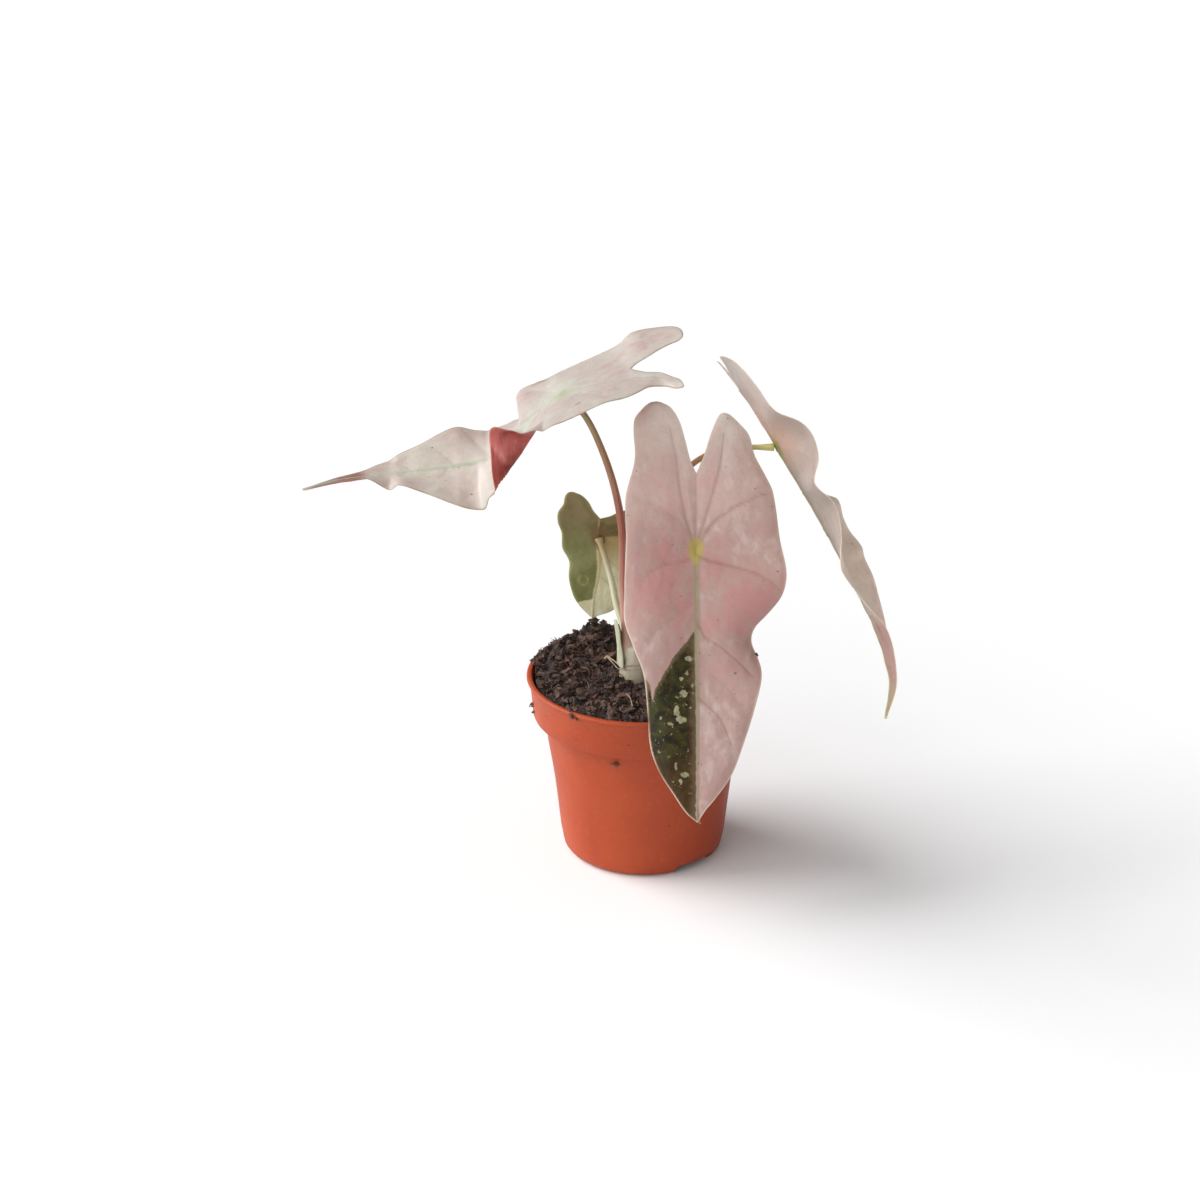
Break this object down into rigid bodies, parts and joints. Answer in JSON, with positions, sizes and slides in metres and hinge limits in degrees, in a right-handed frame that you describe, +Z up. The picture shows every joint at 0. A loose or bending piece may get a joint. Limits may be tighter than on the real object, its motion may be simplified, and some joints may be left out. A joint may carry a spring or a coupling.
{
  "type": "potted alocasia plant",
  "caption": "Young alocasia with long waved arrow-shaped leaves in pink, cream and green, growing from a round tapered nursery pot filled with rough soil.",
  "frame": {"origin": "middle of the flat underside of the pot, on the surface that the pot stands on", "axes": "+Z up along the pot's axis, +X towards the hanging right leaf, -Y towards the front leaf"},
  "size_m": [0.1615, 0.079, 0.1505],
  "materials": {
    "pot_plastic": "satin",
    "potting_soil": "matte",
    "pale_stem": "satin",
    "papery_sheath": "matte",
    "red_stalk": "satin",
    "green_stalk": "satin",
    "pale_stalk": "satin",
    "cream_blade": "satin",
    "pink_blade": "satin",
    "peach_blade": "satin",
    "olive_blade": "satin"
  },
  "bodies": {
    "root": {"pot": "pot_plastic", "soil": "potting_soil", "stem_base": "pale_stem", "stem_sheath": "papery_sheath", "petiole_left": "red_stalk", "petiole_front": "red_stalk", "petiole_right": "green_stalk", "petiole_small": "pale_stalk", "blade_left": "cream_blade", "blade_front": "pink_blade", "blade_right": "peach_blade", "blade_small": "olive_blade"}
  },
  "joints": []
}
